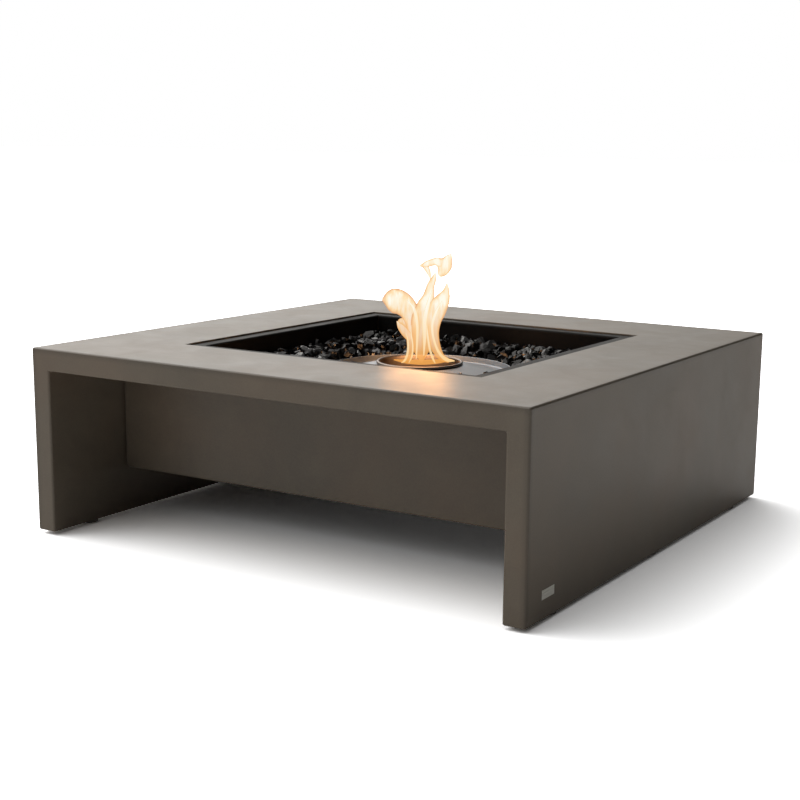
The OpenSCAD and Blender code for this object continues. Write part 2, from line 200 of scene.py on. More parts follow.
class Finish:
    """One procedural material on Object coordinates, put together node by node."""

    def __init__(self, name):
        self.material = bpy.data.materials.new(name)
        self.material.use_nodes = True
        self.tree = self.material.node_tree
        self.surface = self.tree.nodes["Principled BSDF"]
        self.place = self.tree.nodes.new("ShaderNodeTexCoord").outputs["Object"]

    def link(self, value, socket):
        join(self.tree, value, socket)

    def set(self, **values):
        for name, value in values.items():
            self.link(value, self.surface.inputs[name.replace("_", " ")])

    def stretched(self, x, y, z):
        mapping = self.tree.nodes.new("ShaderNodeMapping")
        self.link(self.place, mapping.inputs["Vector"])
        mapping.inputs["Scale"].default_value = (x, y, z)
        return mapping.outputs["Vector"]

    def noise(self, scale, detail=4.0, roughness=0.55, vector=None, distortion=0.0):
        noise = self.tree.nodes.new("ShaderNodeTexNoise")
        self.link(vector or self.place, noise.inputs["Vector"])
        noise.inputs["Scale"].default_value = scale
        noise.inputs["Detail"].default_value = detail
        noise.inputs["Roughness"].default_value = roughness
        noise.inputs["Distortion"].default_value = distortion
        return noise.outputs["Fac"]

    def math(self, how, a, b=None, clamp=False):
        node = self.tree.nodes.new("ShaderNodeMath")
        node.operation = how
        node.use_clamp = clamp
        self.link(a, node.inputs[0])
        self.link(b, node.inputs[1])
        return node.outputs[0]

    def spread(self, value, low, high, to_low, to_high):
        """Carries a value's range from low..high over to to_low..to_high, and stops it there."""
        node = self.tree.nodes.new("ShaderNodeMapRange")
        ends = {"From Min": low, "From Max": high, "To Min": to_low, "To Max": to_high}
        for name, number in ends.items():
            node.inputs[name].default_value = number
        self.link(value, node.inputs["Value"])
        return node.outputs["Result"]

    def mix(self, amount, first, second):
        node = self.tree.nodes.new("ShaderNodeMix")
        node.data_type = "RGBA"
        self.link(amount, node.inputs["Factor"])
        self.link(first, node.inputs["A"])
        self.link(second, node.inputs["B"])
        return node.outputs["Result"]

    def bump(self, height, strength, distance):
        node = self.tree.nodes.new("ShaderNodeBump")
        node.inputs["Strength"].default_value = strength
        node.inputs["Distance"].default_value = distance
        self.link(height, node.inputs["Height"])
        self.link(node.outputs["Normal"], self.surface.inputs["Normal"])

    def arris(self):
        """1 along the table's outer edges and 0 away from them. Each of |X|, |Y| and Z is close to
        the outline or not, and an edge is where two of them are, so their products are added up."""
        split = self.tree.nodes.new("ShaderNodeSeparateXYZ")
        self.link(self.place, split.inputs[0])
        x, y = (self.math("ABSOLUTE", split.outputs[axis]) for axis in "XY")
        near = [self.spread(v, end - EDGE_BAND, end, 0, 1)
                for v, end in ((x, body_high.x), (y, body_high.y), (split.outputs["Z"], TOP))]
        pairs = [self.math("MULTIPLY", near[a], near[b]) for a, b in ((0, 1), (1, 2), (2, 0))]
        return self.math("ADD", self.math("ADD", pairs[0], pairs[1]), pairs[2], clamp=True)

    def radius(self):
        """Distance from the Z axis, for rings left by spinning."""
        split = self.tree.nodes.new("ShaderNodeSeparateXYZ")
        self.link(self.place, split.inputs[0])
        x, y = split.outputs["X"], split.outputs["Y"]
        squares = self.math("MULTIPLY", x, x), self.math("MULTIPLY", y, y)
        return self.math("SQRT", self.math("ADD", *squares))


def cast_concrete(name, light, dark):
    """Sealed cast concrete: soft clouds, smaller mottling, fine speckle and faint pits."""
    finish = Finish(name)
    clouds = finish.spread(finish.noise(3.4, 5, 0.55), 0.30, 0.70, 0, 1)
    mottle = finish.spread(finish.noise(13, 6, 0.62, distortion=0.5), 0.3, 0.7, 0, 1)
    drift = finish.spread(finish.noise(1, 3, 0.6, finish.stretched(16, 16, 4)), 0.3, 0.7, 0, 1)
    speckle = finish.spread(finish.noise(330, 3, 0.6), 0.28, 0.72, 0, 1)
    tone = finish.math("MULTIPLY", clouds, 0.38)
    for pattern, share in ((mottle, 0.28), (drift, 0.08), (speckle, 0.26)):
        tone = finish.math("ADD", tone, finish.math("MULTIPLY", pattern, share))
    colour = finish.mix(tone, dark, light)
    warm = finish.spread(finish.noise(4.3, 3, 0.5), 0.42, 0.72, 0, 0.28)
    colour = finish.mix(warm, colour, rgb(0.190, 0.120, 0.078))
    edges = finish.math("MULTIPLY", finish.arris(), EDGE_SHADE)
    colour = finish.mix(edges, colour, darker(dark, EDGE_SHADE))
    finish.set(Base_Color=colour, Roughness=finish.spread(mottle, 0, 1, 0.34, 0.43), IOR=1.5)
    grain = finish.noise(900, 3, 0.6)
    pits = finish.spread(finish.noise(130, 3, 0.6), 0.24, 0.36, 0, 1)
    height = finish.math("ADD", finish.math("MULTIPLY", grain, 0.3), pits)
    height = finish.math("ADD", height, finish.math("MULTIPLY", mottle, 0.6))
    finish.bump(height, 0.12, 0.0006)
    return finish.material


def coated_steel(name):
    """Black heat-proof coating: an even satin black with a very fine orange-peel surface."""
    finish = Finish(name)
    wear = finish.spread(finish.noise(9, 5, 0.6), 0.35, 0.7, 0, 1)
    finish.set(
        Base_Color=finish.mix(wear, rgb(0.004, 0.004, 0.0045), rgb(0.008, 0.008, 0.0085)),
        Roughness=finish.spread(wear, 0, 1, 0.44, 0.56), IOR=1.3, Specular_IOR_Level=0.22)
    finish.bump(finish.noise(1400, 2, 0.5), 0.15, 0.0002)
    return finish.material


def spun_steel(name, colour, dull, rings=2600.0):
    """Stainless sheet with the fine rings that spinning leaves and a slight heat tint."""
    finish = Finish(name)
    lines = finish.tree.nodes.new("ShaderNodeTexNoise")
    lines.noise_dimensions = "1D"
    finish.link(finish.radius(), lines.inputs["W"])
    lines.inputs["Scale"].default_value = rings
    lines.inputs["Detail"].default_value = 3.0
    grooves = lines.outputs["Fac"]
    smudge = finish.spread(finish.noise(16, 4, 0.6), 0.3, 0.7, 0, 1)
    tint = finish.mix(smudge, colour, darker(colour, 0.86))
    finish.set(Base_Color=tint, Metallic=1.0,
               Roughness=finish.math("ADD", finish.spread(grooves, 0.3, 0.7, dull, dull + 0.12),
                                     finish.math("MULTIPLY", smudge, 0.06)))
    finish.bump(grooves, 0.10, 0.0002)
    return finish.material


def brushed_metal(name, colour, roughness, along=(30, 900, 900)):
    """Plain machined or rolled metal with straight fine brushing."""
    finish = Finish(name)
    lines = finish.noise(1, 3, 0.6, finish.stretched(*along))
    finish.set(
        Base_Color=finish.mix(finish.spread(lines, 0.3, 0.7, 0, 1), colour, darker(colour, 0.8)),
        Metallic=1.0, Roughness=finish.spread(lines, 0.3, 0.7, roughness, roughness + 0.14))
    finish.bump(lines, 0.12, 0.0002)
    return finish.material


def plain_matt(name, colour, roughness, grain, depth):
    """Rubber, tape, wool and unglazed ceramic: one colour with its own grain."""
    finish = Finish(name)
    fleck = finish.noise(grain, 5, 0.65)
    finish.set(
        Base_Color=finish.mix(finish.spread(fleck, 0.3, 0.7, 0, 1), colour, darker(colour, 0.75)),
        Roughness=roughness)
    finish.bump(fleck, 0.4, depth)
    return finish.material


def black_glass(name, index):
    """Opaque black tumbled glass: deep black, very glossy, with slight ripples in each face."""
    finish = Finish(name)
    ripple = finish.noise(150, 3, 0.6)
    shade = finish.spread(finish.noise(38, 2, 0.5), 0.4, 0.7, 0, 1)
    finish.set(
        Base_Color=finish.mix(shade, rgb(0.002, 0.002, 0.0025), rgb(0.008, 0.008, 0.009)),
        Roughness=finish.spread(shade, 0, 1, 0.04, 0.10), IOR=index)
    finish.bump(ripple, 0.8, 0.0012)
    return finish.material


CONCRETE = cast_concrete("sealed concrete", rgb(0.174, 0.146, 0.112), rgb(0.099, 0.083, 0.064))
APRON_CONCRETE = cast_concrete("apron concrete", rgb(0.170, 0.142, 0.109), rgb(0.095, 0.079, 0.061))
BLACK_STEEL = coated_steel("black coated steel")
STAINLESS = spun_steel("spun stainless", rgb(0.35, 0.37, 0.395), 0.40)
COLLAR_STEEL = spun_steel("heated stainless", rgb(0.24, 0.20, 0.17), 0.26)
GRATE_STEEL = spun_steel("heat-tinted grate", rgb(0.12, 0.10, 0.085), 0.34, 600.0)
ZINC = brushed_metal("zinc plating", rgb(0.52, 0.52, 0.54), 0.32)
BRASS = brushed_metal("machined brass", rgb(0.66, 0.48, 0.20), 0.30)
BADGE_METAL = brushed_metal("badge metal", rgb(0.80, 0.80, 0.75), 0.50, (900, 40, 900))
RUBBER = plain_matt("foot rubber", rgb(0.30, 0.295, 0.285), 0.75, 500, 0.0003)
SEAL_RUBBER = plain_matt("seal rubber", rgb(0.022, 0.022, 0.022), 0.8, 700, 0.0002)
TAPE = plain_matt("foam tape", rgb(0.62, 0.61, 0.58), 0.85, 900, 0.0002)
WOOL = plain_matt("ceramic wool", rgb(0.80, 0.78, 0.72), 0.95, 240, 0.003)
SPACER = plain_matt("unglazed ceramic", rgb(0.74, 0.70, 0.62), 0.8, 600, 0.0002)
GLASS = black_glass("black fire glass", 1.30)
# Painted glints: a copy of the same black glass that reflects more strongly, so that some pieces
# flash as if small bright lamps shone on them
PAINTED_GLINT_GLASS = black_glass("fire glass with painted glints", 1.75)


# ---------------------------------------------------------------------------------------------
# Concrete body and aprons
# ---------------------------------------------------------------------------------------------

EDGE_ROUND = 4 * MM       # radius of the casting's outer edges
OPENING_SHARE = 0.35      # of that radius, at the opening's edges
POCKET_SHARE = 0.05       # and at the badge pocket's
LEAST_TURN = 0.1          # radians between two faces that meet in an edge worth rounding
SAME_PLACE = 1e-6         # points closer than this lie in one plane


def cell_solid(cuts, filled):
    """Points and outward faces between the filled and the empty cells of a grid of boxes."""
    points = np.stack(np.meshgrid(*cuts, indexing="ij"), -1).reshape(-1, 3)
    number = np.arange(len(points)).reshape([len(c) for c in cuts])
    solid = np.pad(filled, 1).astype(int)
    faces = []
    for axis in range(3):
        across, up = (axis + 1) % 3, (axis + 2) % 3
        change = np.diff(solid, axis=axis)
        for sign in (1, -1):
            low = np.argwhere(change == sign)
            low[:, across] -= 1
            low[:, up] -= 1
            corner = np.zeros((4, 3), int)
            corner[1:3, across] = 1
            corner[2:4, up] = 1
            quad = low[:, None, :] + (corner if sign < 0 else corner[::-1])[None]
            faces.append(number[quad[..., 0], quad[..., 1], quad[..., 2]])
    faces = np.concatenate(faces)
    used, faces = np.unique(faces, return_inverse=True)
    return points[used], faces.reshape(-1, 4)


def concrete_body():
    """The slab and legs in one casting: a grid of boxes with the arch, the rebate and the opening
    left empty, a shallow pocket sunk for the badge, and its edges rounded."""
    ledge = gasket_low.z
    pocket_low = Vector((tape_low.x, badge_low.y - FIT_GAP, badge_low.z - FIT_GAP))
    pocket_high = Vector((body_high.x, badge_high.y + FIT_GAP, badge_high.z + FIT_GAP))
    opening = [-OPENING_HALF, -THROUGH_HALF, THROUGH_HALF, OPENING_HALF]
    x_cuts = np.array([body_low.x, -LEG_FACE, *opening, LEG_FACE, body_high.x])
    y_cuts = np.array([body_low.y, pocket_low.y, pocket_high.y, *opening, body_high.y])
    z_cuts = np.array([body_low.z, pocket_low.z, pocket_high.z, SLAB_UNDER, ledge, body_high.z])
    middle = [(c[1:] + c[:-1]) / 2 for c in (x_cuts, y_cuts, z_cuts)]
    x, y, z = np.meshgrid(*middle, indexing="ij")
    filled = (np.abs(x) > LEG_FACE) | (z > SLAB_UNDER)
    widest = np.maximum(np.abs(x), np.abs(y))
    filled &= ~((widest < OPENING_HALF) & (z > ledge))
    filled &= ~((widest < THROUGH_HALF) & (z > SLAB_UNDER))
    points, faces = cell_solid((x_cuts, y_cuts, z_cuts), filled)
    points, faces = sink_pocket(points, faces, pocket_low, pocket_high)
    piece = mesh_piece("concrete_casting", points, faces, CONCRETE, "table")
    weigh_edges(piece, pocket_low)
    rounding = piece.modifiers.new("rounded edges", "BEVEL")
    rounding.limit_method = "WEIGHT"
    rounding.width = EDGE_ROUND
    rounding.segments = 5
    rounding.harden_normals = True
    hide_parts("concrete_body")


def sink_pocket(points, faces, low, high):
    """Takes away the one face that lies at high's X and spans low to high in Y and Z, and puts
    four walls and a floor in its place, with the floor at low's X."""
    corners = points[faces]
    spans = np.abs(corners[..., 0] - high.x).max(1) < SAME_PLACE
    for axis in (1, 2):
        spans &= np.abs(corners[..., axis].min(1) - low[axis]) < SAME_PLACE
        spans &= np.abs(corners[..., axis].max(1) - high[axis]) < SAME_PLACE
    mouth = faces[spans][0]
    floor_points = points[mouth] * (0, 1, 1) + (low.x, 0, 0)
    base = len(points) + np.arange(4)
    walls = [(mouth[i], mouth[(i + 1) % 4], base[(i + 1) % 4], base[i]) for i in range(4)]
    faces = np.concatenate([faces[~spans], walls, [base]])
    return np.concatenate([points, floor_points]), faces


def weigh_edges(piece, pocket_low):
    """Gives each edge between two directions its share of the full rounding: all of it at the
    outline and the arch, OPENING_SHARE at the opening and POCKET_SHARE at the badge pocket. Inside
    corners of the opening and the pocket stay sharp."""
    shape = bmesh.new()
    shape.from_mesh(piece.data)
    weight = shape.edges.layers.float.new("bevel_weight_edge")
    for edge in shape.edges:
        if len(edge.link_faces) != 2 or edge.calc_face_angle(0) < LEAST_TURN:
            continue
        ends = [v.co for v in edge.verts]
        if all(max(abs(p.x), abs(p.y)) < OPENING_HALF + MM for p in ends):
            edge[weight] = OPENING_SHARE if edge.is_convex else 0.0
        elif all(pocket_low.x - MM < p.x and badge_low.y - MM < p.y < badge_high.y + MM
                 and badge_low.z - MM < p.z < badge_high.z + MM for p in ends):
            edge[weight] = POCKET_SHARE if edge.is_convex else 0.0
        else:
            edge[weight] = 1.0
        edge.smooth = edge[weight] > 0
    shape.to_mesh(piece.data)
    shape.free()


def apron(name, node, low, high):
    """A cast panel: its outline, with round lower corners, is carried through the thickness and
    drawn in near each face by a quarter circle, which rounds all its edges but the top ones."""
    lower_corner, upper_corner, least_corner = 9 * MM, 1 * MM, 0.2 * MM
    edge, steps = 4 * MM, 8
    width, height = (high.x - low.x) / 2, (high.z - low.z) / 2
    turn = np.radians(np.linspace(0, 90, steps))
    in_by, back_by = edge * (1 - np.sin(turn)), edge * (1 - np.cos(turn))
    drawn_in = np.concatenate([in_by, in_by[::-1]])
    depth = np.concatenate([low.y + back_by, high.y - back_by[::-1]])
    around = np.radians(np.concatenate([90 * q + np.linspace(0, 90, steps) for q in range(4)]))
    quarter = np.repeat(np.arange(4), steps)
    round_by = np.where(quarter < 2, upper_corner, lower_corner)[None, :]
    side_x = np.where((quarter == 0) | (quarter == 3), 1, -1)[None, :]
    side_z = np.where(quarter < 2, 1, -1)[None, :]
    tight = np.maximum(round_by - drawn_in[:, None], least_corner)
    x = side_x * (width - drawn_in[:, None] - tight) + tight * np.cos(around)
    reach = height - (side_z < 0) * drawn_in[:, None]
    z = side_z * (reach - tight) + tight * np.sin(around)
    y = np.broadcast_to(depth[:, None], x.shape)
    rings = np.stack([x, y, z + (low.z + high.z) / 2], -1)
    count = rings.shape[1]
    faces = grid_faces(rings.shape[0], count).tolist()
    faces += [list(range(count)), [(rings.shape[0] - 1) * count + i for i in range(count)][::-1]]
    piece = mesh_piece(name, rings.reshape(-1, 3), faces, APRON_CONCRETE, "table")
    show_true_normals(piece)
    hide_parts(node)


# ---------------------------------------------------------------------------------------------
# Tray, dish and collar
# ---------------------------------------------------------------------------------------------

def fire_tray():
    """The folded pan: one section, from the hole in the floor out, up the wall, over the flange
    and back underneath, carried round a square with small round corners."""
    fold, small_corner = 4 * MM, 3 * MM
    round_part = WELL_RADIUS + 8 * MM
    edge, top = tray_high.x, tray_high.z
    inside = [(WELL_RADIUS, PAN_FLOOR), (round_part, PAN_FLOOR)]
    floor_fold = bend((PAN_HALF - fold, PAN_FLOOR + fold), fold, -90, 0)
    flange_fold = bend((PAN_HALF + fold, top - fold), fold, 180, 90)
    flange_edge = bend((edge - SHEET / 2, top - SHEET / 2), SHEET / 2, 90, -90, 5)
    flange_under = bend((PAN_HALF + fold, top - fold), fold - SHEET, 90, 180)
    floor_under = bend((PAN_HALF - fold, PAN_FLOOR + fold), fold + SHEET, 0, -90)
    back = [(round_part, tray_low.z), (WELL_RADIUS, tray_low.z)]
    section = np.concatenate(
        [inside, floor_fold, flange_fold, flange_edge, flange_under, floor_under, back])
    corner = np.where(section[:, 0] < round_part + MM, section[:, 0], small_corner)
    rings = loft_section(section, corner, 16)
    piece = ring_piece("fire_tray_pan", rings, BLACK_STEEL, "tray")
    show_true_normals(piece)
    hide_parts("fire_tray")


def burner_dish():
    """The spun dish: a flat crown round the collar, a low cone down to a flat gutter, a fold, an
    upturned wall and a rounded rim. The cone's two edges are softened by averaging its height over
    twice the softening."""
    low, fold, softening = dish_low.z, 3 * MM, 4 * MM
    hole = MOUTH_RADIUS + SPUN + FIT_GAP
    wall = DISH_RADIUS - SPUN
    rim = low + SPUN + RIM_HEIGHT
    radius = np.linspace(hole, wall - fold, 40)
    around = radius[:, None] + np.linspace(-softening, softening, 5)
    foot = DISH_RADIUS - GUTTER
    climb = np.clip((foot - around) / (foot - hole - CROWN), 0, 1).mean(1)
    plate = np.stack([radius, low + SPUN + climb * (dish_high.z - SPUN - low)], -1)
    section = np.concatenate([
        plate[:-1],
        bend((wall - fold, low + SPUN + fold), fold, -90, 0),
        bend((DISH_RADIUS - SPUN / 2, rim - SPUN / 2), SPUN / 2, 180, 0, 7),
        bend((wall - fold, low + SPUN + fold), fold + SPUN, 0, -90),
        plate[:-1][::-1] - (0, SPUN),
    ])
    rings = spin_section(section, 192)
    piece = ring_piece("burner_dish_spun", rings, STAINLESS, "burner")
    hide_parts("burner_dish")


def burner_collar():
    """The collar: a tube whose mouth is rolled outwards, with a weld flange under the dish and an
    inward ledge at its foot for the grate."""
    foot, top, crown = collar_low.z, collar_high.z, dish_high.z
    inner, outer = MOUTH_RADIUS, MOUTH_RADIUS + SPUN
    ledge, weld = inner - 6 * MM, collar_high.x
    roll, foot_bend = 2.75 * MM, 1 * MM
    section = np.concatenate([
        [(ledge, foot), (ledge, foot + SPUN)],
        bend((inner - foot_bend, foot + SPUN + foot_bend), foot_bend, -90, 0, 4),
        bend((inner + roll, top - roll), roll, 180, -70, 14),
        [(outer + FIT_GAP, top - 2 * roll), (outer, crown), (outer, crown - SPUN)],
        [(weld, crown - SPUN), (weld, crown - 2 * SPUN), (outer, crown - 2 * SPUN)],
        bend((outer - foot_bend, foot + foot_bend), foot_bend, 0, -90, 4),
    ])
    rings = spin_section(section, 160)
    piece = ring_piece("burner_collar_rolled", rings, COLLAR_STEEL, "burner")
    show_true_normals(piece)
    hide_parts("burner_collar")


# ---------------------------------------------------------------------------------------------
# Fire glass
# ---------------------------------------------------------------------------------------------

WALL_DEPTH = 36 * MM      # glass surface below the table top, at the tray's walls
DISH_DEPTH = 50 * MM      # and next to the dish
SLOPE_WIDTH = 60 * MM     # from the one to the other
SWELL = 2.5 * MM          # long waves of the surface
LUMP = 3 * MM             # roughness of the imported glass
BED_SINK = 9 * MM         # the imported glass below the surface
CHUNK_PITCH = 19.5 * MM   # of the grid that the pieces start from
JITTER = 0.45             # how far a piece strays from it, as a share of the pitch
JITTER_UP = (-3, 2.5)     # and up or down, in millimetres
TOP_SINK = 7 * MM         # middle of the upper pieces below the surface
LOWER_SINK = 15 * MM      # and of the lower ones
PIECE_RISE = 9 * MM       # most that a piece stands above the surface
PIECE_SIZE = (12.5, 21)   # half width in millimetres before it is cut and stretched
PIECE_STRETCH = ([0.75, 0.6, 0.5], [1.25, 1.0, 0.8])      # least and most, three ways
CUTS = 9                  # planes that cut each piece flat
CUT_REACH = (0.36, 0.7)   # from the middle of a ball of radius 1
# Painted glints: the share of the pieces that get the more strongly reflecting copy of the glass
PAINTED_GLINT_SHARE = 0.2        # of the pieces


def glass_height(x, y):
    """Surface of the bed: low beside the dish, rising to its full height by a smooth step (three
    times the square less twice the cube of the way up), with swells that are sums of sines."""
    away = np.clip((np.hypot(x, y) - DISH_RADIUS - 4 * MM) / SLOPE_WIDTH, 0, 1)
    rise = away * away * (3 - 2 * away)
    swell = np.sin(41 * x + 1.3) * np.sin(37 * y + 0.4) + np.sin(93 * x + 60 * y)
    return TOP - DISH_DEPTH + rise * (DISH_DEPTH - WALL_DEPTH) + SWELL * swell * rise


def glass_bed():
    """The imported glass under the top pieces: rings from the dish out to the wall at the surface's
    height, closed underneath along the pan's floor."""
    steps, rows = 40, 26
    share = np.linspace(0, 1, rows)
    inner, outer = DISH_RADIUS + 2 * MM, PAN_HALF - 1.5 * MM
    half = inner + share * (outer - inner)
    corner = half * (1 - share) + 4 * MM * share
    rings = rounded_ring(half, corner, steps)
    x, y = rings[..., 0], rings[..., 1]
    lumps = LUMP * np.sin(310 * x) * np.sin(290 * y + 200 * x)
    height = glass_height(x, y) - BED_SINK + lumps
    top = np.concatenate([rings, height[..., None]], -1)
    floor_height = np.full((2, rings.shape[1], 1), PAN_FLOOR + FIT_GAP)
    under = np.concatenate([rings[[-1, 0]], floor_height], -1)
    rings = np.concatenate([top, under])
    return ring_piece("fire_glass_bed", rings, GLASS, "tray")


def chunk_places(offset, sink):
    """Jittered grid of places over the pan, outside the dish: x, y and the surface's height."""
    line = np.arange(-PAN_HALF + offset, PAN_HALF, CHUNK_PITCH)
    x, y = (a.ravel() for a in np.meshgrid(line, line))
    x = x + random.uniform(-JITTER, JITTER, x.size) * CHUNK_PITCH
    y = y + random.uniform(-JITTER, JITTER, y.size) * CHUNK_PITCH
    keep = np.hypot(x, y) > DISH_RADIUS - 2 * MM
    x, y = x[keep], y[keep]
    height = glass_height(x, y) - sink + random.uniform(*JITTER_UP, x.size) * MM
    return np.stack([x, y, height], -1)


def glass_chunks(name, places):
    """Broken pieces: each is a small ball of 80 faces that random planes cut flat, stretched and
    turned at random, pushed clear of the dish and the walls, and sunk if it stands too high. Each
    plane moves the points beyond it back along its normal."""
    ball = bmesh.new()
    bmesh.ops.create_icosphere(ball, subdivisions=2, radius=1.0)
    base = np.array([v.co for v in ball.verts])
    faces = np.array([[v.index for v in f.verts] for f in ball.faces])
    ball.free()
    count = len(places)
    points = np.broadcast_to(base, (count,) + base.shape).copy()
    for _ in range(CUTS):
        normal = random.normal(size=(count, 3))
        normal /= np.linalg.norm(normal, axis=1, keepdims=True)
        reach = random.uniform(*CUT_REACH, (count, 1))
        beyond = np.maximum(np.einsum("nvk,nk->nv", points, normal) - reach, 0)
        points -= beyond[..., None] * normal[:, None, :]
    size = random.uniform(*PIECE_SIZE, (count, 1)) * MM
    stretch = size * random.uniform(*PIECE_STRETCH, (count, 3))
    points *= stretch[:, None, :]
    turn, _ = np.linalg.qr(random.normal(size=(count, 3, 3)))
    turn[np.linalg.det(turn) < 0, :, 0] *= -1
    points = np.einsum("nvk,njk->nvj", points, turn)
    reach = np.linalg.norm(points[..., :2], axis=-1).max(1)
    around = np.hypot(places[:, 0], places[:, 1])
    push = np.maximum(DISH_RADIUS + 2.5 * MM + reach - around, 0) / around
    spots = places.copy()
    spots[:, :2] += places[:, :2] * push[:, None]
    limit = (PAN_HALF - 1 * MM - reach)[:, None]
    spots[:, :2] = np.clip(spots[:, :2], -limit, limit)
    above = spots[:, 2] + points[..., 2].max(1) - glass_height(spots[:, 0], spots[:, 1])
    spots[:, 2] -= np.maximum(above - PIECE_RISE, 0)
    points += spots[:, None, :]
    points[..., 2] = np.maximum(points[..., 2], PAN_FLOOR + 0.5 * MM)
    all_faces = faces[None] + (np.arange(count) * len(base))[:, None, None]
    mesh = bpy.data.meshes.new(name)
    mesh.vertices.add(points.size // 3)
    mesh.vertices.foreach_set("co", points.ravel())
    mesh.loops.add(all_faces.size)
    mesh.loops.foreach_set("vertex_index", all_faces.ravel())
    mesh.polygons.add(all_faces.size // 3)
    mesh.polygons.foreach_set("loop_start", np.arange(0, all_faces.size, 3))
    mesh.polygons.foreach_set("use_smooth", np.zeros(all_faces.size // 3, bool))
    mesh.materials.append(GLASS)
    mesh.materials.append(PAINTED_GLINT_GLASS)
    # Painted glints: a random share of the pieces gets the more strongly reflecting copy of the
    # glass
    painted_glint_pieces = random.random(count) < PAINTED_GLINT_SHARE
    mesh.polygons.foreach_set("material_index", np.repeat(painted_glint_pieces, len(faces)).astype(int))
    mesh.update(calc_edges=True)
    mesh.validate()
    piece = bpy.data.objects.new(name, mesh)
    bpy.context.scene.collection.objects.link(piece)
    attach(piece, "tray")


def fire_glass():
    """The bed, and two layers of pieces on it that are half a pitch apart."""
    bed = glass_bed()
    glass_chunks("fire_glass_top_pieces", chunk_places(0.5 * CHUNK_PITCH, TOP_SINK))
    glass_chunks("fire_glass_lower_pieces", chunk_places(0.0, LOWER_SINK))
    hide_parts("fire_glass")


# ---------------------------------------------------------------------------------------------
# Flame, which is lit gas and no piece of the object
# ---------------------------------------------------------------------------------------------

FLAME_GLOW = 2.0         # how much brighter the flame lights dull things than it looks
FLAME_GLINT = 11.0       # and shiny ones
FLAME_LIGHT = rgb(1.0, 0.52, 0.24)       # colour of that light
WISP_SCALE = (130, 130, 18)              # fine across the flame and long up it
WISP_SHARE = 0.7         # how strongly the wisps shift the colours
FLAME_FOOT = (TOP - 45 * MM, TOP + 70 * MM)      # where the foot colour fades out
FLAME_RIGHT = np.array([math.cos(VIEW_TURN), math.sin(VIEW_TURN), 0.0])
FLAME_BACK = np.array([-math.sin(VIEW_TURN), math.cos(VIEW_TURN), 0.0])


def flame_gas(name, core, middle, edge, foot, cover):
    """Glowing gas, painted by how far each place faces away: core, middle, then edge colour, with
    the foot colour low down, where it is also clearer; cover is how much of what is behind it
    the gas hides at its foot and at its top."""
    material = bpy.data.materials.new(name)
    material.use_nodes = True
    tree = material.node_tree
    tree.nodes.clear()
    new = tree.nodes.new
    output, mix = new("ShaderNodeOutputMaterial"), new("ShaderNodeMixShader")
    clear, glow = new("ShaderNodeBsdfTransparent"), new("ShaderNodeEmission")
    facing = new("ShaderNodeLayerWeight")
    facing.inputs["Blend"].default_value = 0.5
    place, stretch = new("ShaderNodeTexCoord"), new("ShaderNodeMapping")
    wisps = new("ShaderNodeTexNoise")
    stretch.inputs["Scale"].default_value = WISP_SCALE
    wisps.inputs["Scale"].default_value = 1.0
    wisps.inputs["Detail"].default_value = 3.0
    tree.links.new(place.outputs["Object"], stretch.inputs["Vector"])
    tree.links.new(stretch.outputs["Vector"], wisps.inputs["Vector"])
    shade = new("ShaderNodeMath")
    shade.operation = "MULTIPLY_ADD"
    shade.inputs[1].default_value = WISP_SHARE
    tree.links.new(wisps.outputs["Fac"], shade.inputs[0])
    tree.links.new(facing.outputs["Facing"], shade.inputs[2])
    ramp = new("ShaderNodeValToRGB")
    stops = ramp.color_ramp.elements
    stops[0].position, stops[0].color = 0.32, core
    stops[1].position, stops[1].color = 0.88, edge
    stops.new(0.50).color = middle
    tree.links.new(shade.outputs[0], ramp.inputs["Fac"])
    split, low = new("ShaderNodeSeparateXYZ"), new("ShaderNodeMapRange")
    low.inputs["From Min"].default_value, low.inputs["From Max"].default_value = FLAME_FOOT
    tree.links.new(place.outputs["Object"], split.inputs[0])
    tree.links.new(split.outputs["Z"], low.inputs["Value"])
    tint = new("ShaderNodeMix")
    tint.data_type = "RGBA"
    tint.inputs["A"].default_value = foot
    tree.links.new(low.outputs["Result"], tint.inputs["Factor"])
    tree.links.new(ramp.outputs["Color"], tint.inputs["B"])
    seen, tone = new("ShaderNodeLightPath"), new("ShaderNodeMix")
    tone.data_type = "RGBA"
    tone.inputs["A"].default_value = FLAME_LIGHT
    tree.links.new(seen.outputs["Is Camera Ray"], tone.inputs["Factor"])
    tree.links.new(tint.outputs["Result"], tone.inputs["B"])
    tree.links.new(tone.outputs["Result"], glow.inputs["Color"])
    power = 1.0
    for ray, strength in (("Is Diffuse Ray", FLAME_GLOW), ("Is Glossy Ray", FLAME_GLINT)):
        more = new("ShaderNodeMath")
        more.operation = "MULTIPLY_ADD"
        more.inputs[1].default_value = strength - 1
        tree.links.new(seen.outputs[ray], more.inputs[0])
        join(tree, power, more.inputs[2])
        power = more.outputs[0]
    tree.links.new(power, glow.inputs["Strength"])
    hide = new("ShaderNodeMapRange")
    hide.inputs["To Min"].default_value, hide.inputs["To Max"].default_value = cover
    tree.links.new(low.outputs["Result"], hide.inputs["Value"])
    tree.links.new(hide.outputs["Result"], mix.inputs["Fac"])
    tree.links.new(clear.outputs["BSDF"], mix.inputs[1])
    tree.links.new(glow.outputs["Emission"], mix.inputs[2])
    tree.links.new(mix.outputs["Shader"], output.inputs["Surface"])
    material.cycles.emission_sampling = "NONE"
    return material


